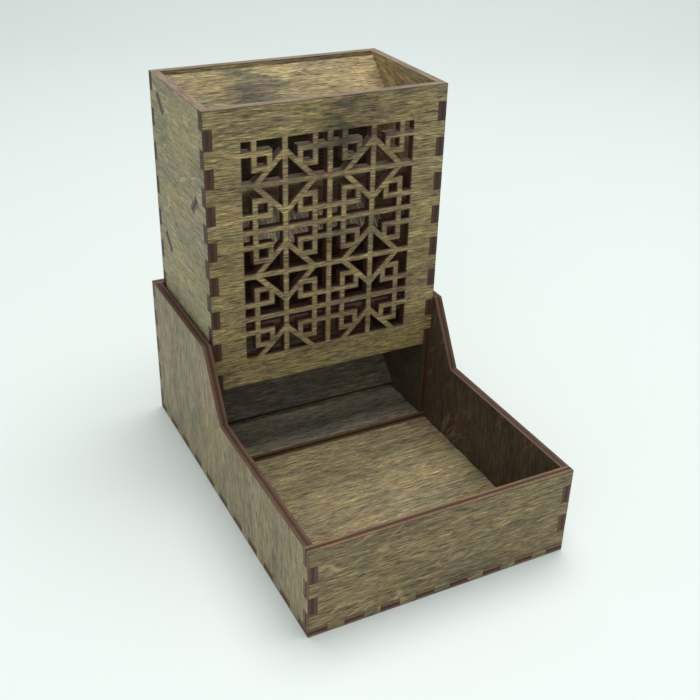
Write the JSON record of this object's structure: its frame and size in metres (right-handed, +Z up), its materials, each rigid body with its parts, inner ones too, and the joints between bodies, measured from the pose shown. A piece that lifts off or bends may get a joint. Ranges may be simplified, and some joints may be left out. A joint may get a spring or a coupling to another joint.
{
  "type": "dice tower",
  "caption": "Wooden dice tower with a fretwork front, sloping baffles inside and an exit ramp, standing loose in the raised rear of a low rolling tray.",
  "frame": {"origin": "centre of the tray's underside, on the table", "axes": "+Z up, -Y towards the open front of the tray, X across"},
  "size_m": [0.1, 0.1508, 0.1453],
  "materials": {
    "tray_floor": "stained plywood, satin",
    "tray_front": "stained plywood, satin",
    "tray_back": "stained plywood, satin",
    "tray_sides": "stained plywood, satin",
    "tower_floor": "stained plywood, satin",
    "tower_front": "stained plywood, satin",
    "tower_back": "stained plywood, satin",
    "tower_sides": "stained plywood, satin",
    "boards": "stained plywood, satin"
  },
  "bodies": {
    "tray": {"tray_floor": "tray_floor", "tray_front": "tray_front", "tray_back": "tray_back", "tray_left_side": "tray_sides", "tray_right_side": "tray_sides"},
    "tower": {"tower_floor": "tower_floor", "tower_front": "tower_front", "tower_back": "tower_back", "tower_left_side": "tower_sides", "tower_right_side": "tower_sides", "baffle_rear_upper": "boards", "baffle_front_upper": "boards", "baffle_rear_lower": "boards", "baffle_front_lower": "boards", "exit_ramp": "boards"}
  },
  "joints": [
    {"name": "tower_lift", "type": "slide", "parent": "tray", "child": "tower", "axis": [0, 0, 1], "range_m": [0, 0.07]}
  ]
}
